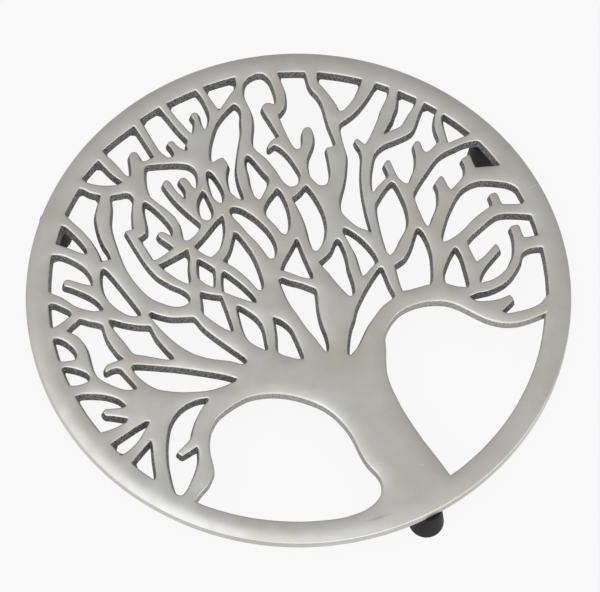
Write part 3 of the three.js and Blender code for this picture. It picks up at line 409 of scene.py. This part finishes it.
# The pierced disc as flat triangles, with narrow bands inside the openings for their sloping walls
def piercedDisc(edges):
    points = []
    lines = []

    # Adds the kept points of a closed outline, joined in their order, and returns them
    def addRing(spots, isKept, joinsGaps):
        numbers = {}
        for i, kept in enumerate(isKept):
            if kept:
                numbers[i] = len(points)
                points.append(spots[i])
        order = list(numbers)
        for i, j in zip(order, order[1:] + order[:1]):
            if i != j and (joinsGaps or (i + 1) % len(spots) == j):
                lines.append((numbers[i], numbers[j]))
        return spots[order]

    for outline in edges.outlines + [edges.rim]:
        addRing(outline, [True] * len(outline), True)
    distances = [casting["edgeRound"] * (1 - math.cos(math.radians(a))) for a in casting["roundAngles"]]
    for distance in distances + casting["flatRings"]:
        for outline in edges.outlines + [edges.rim]:
            addRing(*edges.moved(outline, distance), False)
    lowerOutlines = []
    for outline, draft in zip(edges.outlines, edges.drafts):
        for share in casting["draftShares"]:
            lowerOutline = addRing(*edges.moved(outline, -share * draft), True)
        lowerOutlines.append(lowerOutline)

    # Rings of points on the rim's crown, and a grid of even triangles inside it
    inner = edges.rimEdge - casting["crownWidth"]
    fillers = []
    for k in range(casting["crownRings"]):
        share = math.sin(math.pi / 2 * k / casting["crownRings"])
        fillers.extend(circle(inner + share * casting["crownWidth"], casting["rimSides"]))
    rowStep = casting["gridSpacing"] * math.sqrt(0.75)
    rows = int(inner / rowStep) + 1
    for row in range(-rows, rows + 1):
        for column in range(-rows, rows + 1):
            x = (column + 0.5 * (row % 2)) * casting["gridSpacing"]
            y = row * rowStep
            if math.hypot(x, y) < inner - casting["gridSpacing"] / 2:
                fillers.append((x, y))
    points.extend((x, y) for x, y in fillers if edges.clearance(x, y) > casting["gridMargin"])

    # The triangles of the walls lie within an opening's outline, those of the air within its lower one
    result = delaunay_2d_cdt([Vector(p) for p in points], lines, [], 0, casting["meshTolerance"])
    flat = np.array([v[:] for v in result[0]])
    triangles = np.array([corners[:] for corners in result[2]])
    middles = flat[triangles].mean(1)
    isWall = np.zeros(len(triangles), bool)
    isOpen = np.zeros(len(triangles), bool)
    for outline, lowerOutline in zip(edges.outlines, lowerOutlines):
        isNear = ((middles > outline.min(0)) & (middles < outline.max(0))).all(1)
        near = np.flatnonzero(isNear)
        isWall[near] |= isWithin(outline, middles[near])
        isOpen[near] |= isWithin(lowerOutline, middles[near])
    return flat, triangles[~isOpen], isWall[~isOpen]


# How far the rim's top has fallen at a distance from its outer edge
def crownDrop(toRim):
    share = np.clip((casting["crownWidth"] - toRim) / casting["crownWidth"], 0, 1)
    return casting["crownDrop"] * (1 - (1 - share**2) ** casting["crownFullness"])


# How far a rounded edge has fallen at a distance from its end
def roundDrop(distance, radius):
    inside = np.clip(radius - distance, 0, radius)
    return radius - np.sqrt(radius**2 - inside**2)


# A closed turned solid, its profile given from the axis to the axis as radii and heights
def addLathe(shell, centre, profile, sides):
    rings = []
    for radius, height in profile:
        if radius == 0:
            rings.append([shell.verts.new((centre.x, centre.y, height))] * sides)
            continue
        angles = [2 * math.pi * i / sides for i in range(sides)]
        spots = [(centre.x + radius * math.cos(a), centre.y + radius * math.sin(a), height) for a in angles]
        rings.append([shell.verts.new(spot) for spot in spots])
    for lower, upper in zip(rings, rings[1:]):
        for i in range(sides):
            j = (i + 1) % sides
            corners = [lower[i], lower[j], upper[j], upper[i]]
            shell.faces.new(list(dict.fromkeys(corners)))


# The heights of the top and of the underside at every point, and how polished the top is there
def plateHeights(edges, flat, triangles, isWall):
    nearest = [edges.nearest(x, y) for x, y in flat]
    owners = np.array([owner for owner, _ in nearest])
    toOpening = np.array([distance for _, distance in nearest])
    toRim = edges.toRim(flat)
    drafts = edges.drafts[owners]
    edgeRound = casting["edgeRound"]
    openingRound = casting["openingRound"]
    roll = casting["pillowDrop"] * (1 - MetalAround(edges).at(flat))
    rolled = plateTop / mm - crownDrop(toRim) - roll
    top = rolled - roundDrop(np.minimum(toOpening, toRim), edgeRound)
    polish = np.clip(toOpening / casting["polishReach"], 0, 1)

    # Inside an opening the top surface is the wall, which slopes down to the lower edge
    inWall = np.setdiff1d(triangles[isWall], triangles[~isWall])
    share = np.clip(toOpening[inWall] / drafts[inWall], 0, 1)
    lowerEdge = plateBottom / mm + openingRound + casting["lowerEdge"]
    wallTop = rolled[inWall] - edgeRound
    top[inWall] = wallTop + (lowerEdge - wallTop) * share
    toLowerEdge = drafts + toOpening
    toLowerEdge[inWall] = drafts[inWall] * (1 - share)
    rimRound = roundDrop(toRim, casting["undersideRound"])
    bottom = plateBottom / mm + np.maximum(rimRound, roundDrop(toLowerEdge, openingRound))
    polish[inWall] = 0
    return top, bottom, np.maximum(polish, edges.wallPolish[owners])


# A cast peg under the rim for each foot
def addPegs(shell):
    end = casting["pegEnd"] * mm
    radius = casting["pegRadius"] * mm
    chamfer = casting["pegChamfer"] * mm
    root = plateBottom + casting["pegRoot"] * mm
    profile = [(0, end), (radius - chamfer, end), (radius, end + chamfer), (radius, root), (0, root)]
    for node in footNodes:
        low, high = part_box(node)
        addLathe(shell, (low + high) / 2, profile, casting["pegSides"])


def makePlate(material):
    edges = Edges(plateRadius / mm)
    flat, triangles, isWall = piercedDisc(edges)
    count = sum(map(len, edges.outlines))
    print("plate:", len(edges.outlines), "openings,", count, "points,", len(triangles), "triangles a side")
    top, bottom, polish = plateHeights(edges, flat, triangles, isWall)

    shell = bmesh.new()
    layer = shell.verts.layers.float.new("polish")

    def addVert(i, height, amount):
        x = plateCentre.x + flat[i, 0] * mm
        y = plateCentre.y + flat[i, 1] * mm
        vert = shell.verts.new((x, y, height * mm))
        vert[layer] = amount
        return vert

    used = np.unique(triangles)
    upper = {i: addVert(i, top[i], polish[i]) for i in used}
    lower = {i: addVert(i, bottom[i], 0) for i in used}
    for corners in triangles:
        shell.faces.new([upper[i] for i in corners])
        shell.faces.new([lower[i] for i in reversed(corners)])

    # The upright side of the rim, and the short one at the foot of every opening's wall
    toRim = edges.toRim(flat)
    sides = {side for a, b, c in triangles for side in ((a, b), (b, c), (c, a))}
    rows = casting["sideRows"]
    columns = {}
    for start, end in sides:
        if (end, start) in sides:
            continue
        isRim = max(toRim[start], toRim[end]) < casting["rimNearness"]
        for i in (start, end):
            if i in columns:
                continue
            columns[i] = [upper[i], lower[i]]
            if isRim:
                lower[i][layer] = 1
                heights = [top[i] + (bottom[i] - top[i]) * row / rows for row in range(1, rows)]
                columns[i][1:1] = [addVert(i, height, 1) for height in heights]
        near, far = columns[start], columns[end]
        for row in range(len(near) - 1):
            shell.faces.new((far[row], near[row], near[row + 1], far[row + 1]))

    addPegs(shell)
    for face in shell.faces:
        face.smooth = True
    mesh = bpy.data.meshes.new("trivet_casting")
    shell.to_mesh(mesh)
    triangleCount = sum(len(face.verts) - 2 for face in shell.faces)
    openCount = sum(not edge.is_manifold for edge in shell.edges)
    print("plate mesh:", triangleCount, "triangles,", openCount, "open edges")
    shell.free()
    return newPiece("trivet_casting", mesh, material)


# Rubber caps: lengths in millimetres
foot = {
    "boreRadius": 2.8,
    "wall": 2.4,
    "soleThickness": 3.7,
    "bottomRound": 1.0,
    "topRound": 0.8,
    "edgeRound": 0.15,
    "recessRadius": 4.2,
    "recessDepth": 0.4,
    "recessSlope": 0.5,  # how far the recess is narrower at its depth than at the sole
    "sides": 64,
    "roundSteps": 6,
    "axisRadius": 1.0,  # radius of the circle that the profile is carried round
    "mergeDistance": 0.001,
}


# The tree of nodes that turns the profile into a foot and stands one at each place
def footTree():
    tree = bpy.data.node_groups.new("rubberFeet", "GeometryNodeTree")
    nodes = Nodes(tree)
    tree.interface.new_socket("Profile", in_out="INPUT", socket_type="NodeSocketGeometry")
    for name in ("Front", "Right", "Left"):
        tree.interface.new_socket(name, in_out="INPUT", socket_type="NodeSocketVector")
    tree.interface.new_socket("Axis Radius", in_out="INPUT", socket_type="NodeSocketFloat")
    tree.interface.new_socket("Sides", in_out="INPUT", socket_type="NodeSocketInt")
    tree.interface.new_socket("Round Steps", in_out="INPUT", socket_type="NodeSocketInt")
    tree.interface.new_socket("Rubber", in_out="INPUT", socket_type="NodeSocketMaterial")
    tree.interface.new_socket("Feet", in_out="OUTPUT", socket_type="NodeSocketGeometry")
    entry = nodes.add("NodeGroupInput").socket.node

    def given(name):
        return Value(nodes, entry.outputs[name])

    wire = nodes.add("GeometryNodeMeshToCurve", {}, {"Mesh": given("Profile")})
    rounding = nodes.add("GeometryNodeInputNamedAttribute", {"data_type": "FLOAT"}, {"Name": "cornerRound"})
    profile = nodes.add(
        "GeometryNodeFilletCurve",
        {"mode": "POLY"},
        {"Curve": wire, "Count": given("Round Steps"), "Radius": rounding, "Limit Radius": True},
    )
    axis = nodes.add(
        "GeometryNodeCurvePrimitiveCircle",
        {"mode": "RADIUS"},
        {"Resolution": given("Sides"), "Radius": given("Axis Radius")},
    )
    turned = nodes.add("GeometryNodeCurveToMesh", {}, {"Curve": axis, "Profile Curve": profile})
    apart = foot["mergeDistance"] * mm
    closed = nodes.add("GeometryNodeMergeByDistance", {}, {"Geometry": turned, "Distance": apart})
    index = nodes.add("GeometryNodeInputIndex")
    places = nodes.add(
        "GeometryNodeIndexSwitch",
        {"data_type": "VECTOR", "itemCount": 3},
        {0: index, 1: given("Front"), 2: given("Right"), 3: given("Left")},
    )
    spots = nodes.add("GeometryNodePoints", {}, {"Count": 3, "Position": places})
    feet = nodes.add("GeometryNodeInstanceOnPoints", {}, {"Points": spots, "Instance": closed})
    real = nodes.add("GeometryNodeRealizeInstances", {}, {"Geometry": feet})
    smooth = nodes.add("GeometryNodeSetShadeSmooth", {}, {"Geometry": real, "Shade Smooth": True})
    painted = nodes.add("GeometryNodeSetMaterial", {}, {"Geometry": smooth, "Material": given("Rubber")})
    nodes.add("NodeGroupOutput", {}, {"Feet": painted})
    return tree


def makeFeet(material):
    low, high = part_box(footNodes[0])
    bottomRadius = (high.x - low.x) / 2 / mm
    height = high.z / mm
    topRadius = foot["boreRadius"] + foot["wall"]
    corners = [
        (0, foot["recessDepth"], 0),
        (foot["recessRadius"] - foot["recessSlope"], foot["recessDepth"], foot["edgeRound"]),
        (foot["recessRadius"], 0, foot["edgeRound"]),
        (bottomRadius, 0, foot["bottomRound"]),
        (topRadius, height, foot["topRound"]),
        (foot["boreRadius"], height, foot["edgeRound"]),
        (foot["boreRadius"], foot["soleThickness"], foot["edgeRound"]),
        (0, foot["soleThickness"], 0),
    ]
    mesh = bpy.data.meshes.new("footProfile")
    spots = [((radius - foot["axisRadius"]) * mm, -z * mm, 0) for radius, z, _ in corners]
    mesh.from_pydata(spots, [(i, i + 1) for i in range(len(spots) - 1)], [])
    rounding = mesh.attributes.new("cornerRound", "FLOAT", "POINT")
    for item, (_, _, radius) in zip(rounding.data, corners):
        item.value = radius * mm
    holder = newPiece("footProfile", mesh)
    modifier = holder.modifiers.new("feet", "NODES")
    tree = footTree()
    modifier.node_group = tree
    boxes = [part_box(node) for node in footNodes]
    places = [Vector(((a.x + b.x) / 2, (a.y + b.y) / 2, 0)) for a, b in boxes]
    given = {
        "Front": places[0],
        "Right": places[1],
        "Left": places[2],
        "Axis Radius": foot["axisRadius"] * mm,
        "Sides": foot["sides"],
        "Round Steps": foot["roundSteps"],
        "Rubber": material,
    }
    for socket in tree.interface.items_tree:
        if socket.name in given:
            modifier[socket.identifier] = given[socket.name]
    depsgraph = bpy.context.evaluated_depsgraph_get()
    feetMesh = bpy.data.meshes.new_from_object(holder.evaluated_get(depsgraph), depsgraph=depsgraph)
    feetMesh.name = "rubber_feet"
    bpy.data.objects.remove(holder)
    print("feet mesh:", len(feetMesh.polygons), "faces")
    return newPiece("rubber_feet", feetMesh)


# Satin aluminium where it is polished, dark rough casting skin where it isn't: the sizes of the
# patterns and the heights of their bumps in millimetres
aluminium = {
    "polished": (0.49, 0.486, 0.47, 1),
    "dulled": (0.445, 0.432, 0.383, 1),
    "tarnished": (0.442, 0.424, 0.362, 1),
    # painted shade: the darker colour of a streak that stands in for the shade of a shallow groove
    "paintedGrooveShade": (0.36, 0.352, 0.32, 1),
    "scratched": (0.7, 0.7, 0.69, 1),
    "castLight": (0.29, 0.287, 0.28, 1),
    "castDark": (0.085, 0.084, 0.081, 1),
    "patchSize": 26,
    "mottleSize": 5,
    "gritSize": 0.7,
    "poreSize": 0.28,
    "raggedness": 0.25,  # how far the grit eats into the edge of the polish
    "polishRange": (0.3, 0.7),
    "patchShare": 0.65,  # the rest of the dulling follows the mottle
    "dullRange": (0.38, 0.66),
    "gritRange": (0.35, 0.7),
    "polishedRoughness": 0.3,
    "dullRoughness": 0.07,
    "poreRoughness": 0.08,
    "castRoughness": 0.72,
    "patchHeight": 0.3,
    "mottleHeight": 0.03,
    "polishedPoreHeight": 0.002,
    "gritHeight": 0.22,
    "castPoreHeight": 0.05,
}


# Marks of use on the top, and one streak of painted shade: middle from the plate's, length and width in
# millimetres, turn in degrees
marks = {
    "tarnish": [
        {"middle": (-1.7, -34.8), "size": (34.0, 24.0), "turn": -30.0},
        {"middle": (-66.0, 72.0), "size": (16.0, 9.0), "turn": 43.0},
    ],
    # painted shade: a dark streak on the rim's crown beside the foot of the trunk, in place of a shallow
    # groove's shade
    "paintedGrooveStreak": {"middle": (-19.6, -94.2), "size": (12.0, 1.7), "turn": -11.0},
    "scratches": [
        {"middle": (4.8, -84.0), "size": (2.4, 0.4), "turn": -29.0},
        {"middle": (98.0, -5.0), "size": (8.0, 0.4), "turn": 6.0},
        {"middle": (-68.6, -52.0), "size": (2.6, 0.4), "turn": -100.0},
    ],
}


def aluminiumMaterial():
    material, nodes = newMaterial("satinCastAluminium")
    place = nodes.add("ShaderNodeTexCoord", {}, {}, 3)
    handled = nodes.add("ShaderNodeAttribute", {"attribute_name": "polish"}, {}, 2)
    patches = nodes.grain(place, aluminium["patchSize"] * mm)
    mottle = nodes.grain(place, aluminium["mottleSize"] * mm, detail=3.0)
    grit = nodes.grain(place, aluminium["gritSize"] * mm, detail=3.0, roughness=0.6)
    pores = nodes.grain(place, aluminium["poreSize"] * mm)
    edge = handled + (grit - 0.5) * aluminium["raggedness"]
    polished = nodes.step(edge, *aluminium["polishRange"])

    dulling = patches * aluminium["patchShare"] + mottle * (1 - aluminium["patchShare"])
    dull = nodes.step(dulling, *aluminium["dullRange"])
    topColour = nodes.blendColours(dull, aluminium["polished"], aluminium["dulled"])
    for patch in marks["tarnish"]:
        topColour = nodes.blendColours(nodes.spot(place, patch), topColour, aluminium["tarnished"])
    # painted shade of a shallow groove, darkening the top colour along a streak
    topColour = nodes.blendColours(nodes.spot(place, marks["paintedGrooveStreak"]), topColour, aluminium["paintedGrooveShade"])
    for scratch in marks["scratches"]:
        topColour = nodes.blendColours(nodes.spot(place, scratch), topColour, aluminium["scratched"])
    gritty = nodes.step(grit, *aluminium["gritRange"])
    castColour = nodes.blendColours(gritty, aluminium["castDark"], aluminium["castLight"])
    colour = nodes.blendColours(polished, castColour, topColour)
    topRoughness = aluminium["polishedRoughness"] + dull * aluminium["dullRoughness"]
    topRoughness = topRoughness + pores * aluminium["poreRoughness"]
    roughness = aluminium["castRoughness"] - polished * (aluminium["castRoughness"] - topRoughness)
    topHeight = patches * aluminium["patchHeight"] + mottle * aluminium["mottleHeight"]
    topHeight = topHeight + pores * aluminium["polishedPoreHeight"]
    castHeight = grit * aluminium["gritHeight"] + pores * aluminium["castPoreHeight"]
    height = castHeight + polished * (topHeight - castHeight)
    bump = nodes.add("ShaderNodeBump", {}, {"Strength": 1.0, "Distance": mm, "Height": height})
    surface = nodes.add(
        "ShaderNodeBsdfPrincipled",
        {},
        {"Base Color": colour, "Metallic": 1.0, "Roughness": roughness, "Normal": bump},
    )
    nodes.add("ShaderNodeOutputMaterial", {}, {"Surface": surface})
    return material


# Matt black rubber with a faint greyer bloom: sizes and heights in millimetres
rubber = {
    "fresh": (0.004, 0.004, 0.0043, 1),
    "bloomed": (0.01, 0.01, 0.0105, 1),
    "bloomSize": 4,
    "skinSize": 0.3,
    "bloomRange": (0.35, 0.7),
    "skinHeight": 0.012,
    "bloomHeight": 0.03,
    "roughness": 0.5,
    "bloomRoughness": 0.15,
    "shine": 0.12,
}


def rubberMaterial():
    material, nodes = newMaterial("blackRubber")
    place = nodes.add("ShaderNodeTexCoord", {}, {}, 3)
    bloom = nodes.grain(place, rubber["bloomSize"] * mm, detail=3.0)
    skin = nodes.grain(place, rubber["skinSize"] * mm)
    bloomed = nodes.step(bloom, *rubber["bloomRange"])
    height = skin * rubber["skinHeight"] + bloom * rubber["bloomHeight"]
    values = {
        "Base Color": nodes.blendColours(bloomed, rubber["fresh"], rubber["bloomed"]),
        "Roughness": rubber["roughness"] + bloom * rubber["bloomRoughness"],
        "Normal": nodes.add("ShaderNodeBump", {}, {"Strength": 1.0, "Distance": mm, "Height": height}),
        "Specular IOR Level": rubber["shine"],
    }
    surface = nodes.add("ShaderNodeBsdfPrincipled", {}, values)
    nodes.add("ShaderNodeOutputMaterial", {}, {"Surface": surface})
    return material


plate = makePlate(aluminiumMaterial())
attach(plate, "root")
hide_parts("trivet_plate")
feet = makeFeet(rubberMaterial())
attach(feet, "root")
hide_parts(*footNodes)
print("pieces in place")


# Pale floor, even soft light with more of it from above the near side
studio = {
    "floorSize": 6.0,
    "floorColour": (0.8, 0.8, 0.8, 1),
    "glow": 0.95,
    "glowShare": 0.96,
    "glossyGlow": 0.1,  # how much brighter the floor is in reflections
    "skyDark": (0.6, 0.6, 0.6, 1),
    "skyLight": (1.25, 1.25, 1.25, 1),
    "skyBearing": 225.0,
    "skyElevation": 25.0,
    "skyRange": (-0.7, 1.0),  # from dark to light, by the cosine to the lightest direction
    "windowLight": (1.26, 1.3, 1.38),
    "windowBearing": 250.0,
    "windowRange": (-0.1, 0.5),  # by the cosine to the window's middle
    "windowTop": (0.65, 0.4),  # the window fades out between these heights of the direction
    "lampSize": 1.5,
    "lampDistance": 1.7,
    "lampPower": 6.0,
    "lampColour": (0.96, 0.98, 1.04),
    "lampBearing": 180.0,
    "lampElevation": 67.0,
}


def makeFloor():
    size = studio["floorSize"] / 2
    mesh = bpy.data.meshes.new("floor")
    corners = [(-size, -size, 0), (size, -size, 0), (size, size, 0), (-size, size, 0)]
    mesh.from_pydata(corners, [], [(0, 1, 2, 3)])
    material, nodes = newMaterial("paleFloor")
    rays = nodes.add("ShaderNodeLightPath").socket.node
    isGlossy = Value(nodes, rays.outputs["Is Glossy Ray"])
    seen = isGlossy + Value(nodes, rays.outputs["Is Camera Ray"])
    seen = seen + Value(nodes, rays.outputs["Is Transmission Ray"])
    matt = nodes.add("ShaderNodeBsdfDiffuse", {}, {"Color": studio["floorColour"]})
    brightness = studio["glow"] + isGlossy * studio["glossyGlow"]
    glow = nodes.add("ShaderNodeEmission", {}, {"Color": (1, 1, 1, 1), "Strength": brightness})
    surface = nodes.add("ShaderNodeMixShader", {}, {0: seen * studio["glowShare"], 1: matt, 2: glow})
    nodes.add("ShaderNodeOutputMaterial", {}, {"Surface": surface})
    floor = newPiece("floor", mesh, material)


def directionOf(bearing, elevation):
    bearing = math.radians(bearing)
    elevation = math.radians(elevation)
    level = math.cos(elevation)
    return Vector((level * math.cos(bearing), level * math.sin(bearing), math.sin(elevation)))


def makeLight():
    world = bpy.data.worlds.new("softSky")
    world.use_nodes = True
    bpy.context.scene.world = world
    nodes = Nodes(world.node_tree)
    direction = nodes.add("ShaderNodeTexCoord")
    towards = directionOf(studio["skyBearing"], studio["skyElevation"])
    facing = nodes.add("ShaderNodeVectorMath", {"operation": "DOT_PRODUCT"}, {0: direction, 1: towards}, 1)
    lightness = nodes.step(facing, *studio["skyRange"])
    sky = nodes.blendColours(lightness, studio["skyDark"], studio["skyLight"])
    window = directionOf(studio["windowBearing"], 0)
    ahead = nodes.add("ShaderNodeVectorMath", {"operation": "DOT_PRODUCT"}, {0: direction, 1: window}, 1)
    height = nodes.add("ShaderNodeSeparateXYZ", {}, {0: direction}, 2)
    belt = nodes.step(ahead, *studio["windowRange"]) * nodes.step(height, *studio["windowTop"])
    added = {0: belt, 1: studio["windowLight"], 2: sky}
    sky = nodes.add("ShaderNodeVectorMath", {"operation": "MULTIPLY_ADD"}, added)
    background = nodes.add("ShaderNodeBackground", {}, {"Color": sky, "Strength": 1.0})
    nodes.add("ShaderNodeOutputWorld", {}, {"Surface": background})

    lamp = bpy.data.lights.new("softbox", "AREA")
    lamp.shape = "DISK"
    lamp.size = studio["lampSize"]
    lamp.energy = studio["lampPower"]
    lamp.color = studio["lampColour"]
    away = directionOf(studio["lampBearing"], studio["lampElevation"])
    softbox = bpy.data.objects.new("softbox", lamp)
    softbox.location = Vector((0, 0, plateTop)) + away * studio["lampDistance"]
    softbox.rotation_euler = away.to_track_quat("Z", "Y").to_euler()
    bpy.context.scene.collection.objects.link(softbox)


# The photograph's view: angles in degrees, the lens and the shift as fitted to the plate's outer edge
view = {
    "azimuth": -29.5,
    "elevation": 63.883,
    "roll": -0.675,
    "distance": 1.2,
    "lens": 193.63,
    "sensor": 36,
    "shift": (0.0022, -0.01313),
    "nearest": 0.1,
    "farthest": 20,
}


def makeCamera():
    roll = math.radians(view["roll"])
    back = directionOf(view["azimuth"] - 90, view["elevation"])
    right = directionOf(view["azimuth"], 0)
    up = back.cross(right)
    across = math.cos(roll) * right - math.sin(roll) * up
    upright = math.sin(roll) * right + math.cos(roll) * up
    data = bpy.data.cameras.new("camera")
    data.lens = view["lens"]
    data.sensor_width = view["sensor"]
    data.shift_x, data.shift_y = view["shift"]
    data.clip_start = view["nearest"]
    data.clip_end = view["farthest"]
    camera = bpy.data.objects.new("camera", data)
    target = Vector((plateCentre.x, plateCentre.y, plateTop))
    turn = Matrix((across, upright, back)).transposed()
    camera.matrix_world = Matrix.LocRotScale(target + view["distance"] * back, turn.to_quaternion(), None)
    bpy.context.scene.collection.objects.link(camera)
    bpy.context.scene.camera = camera


makeFloor()
makeLight()
makeCamera()
bpy.context.scene.view_settings.view_transform = "Standard"
print("studio ready")
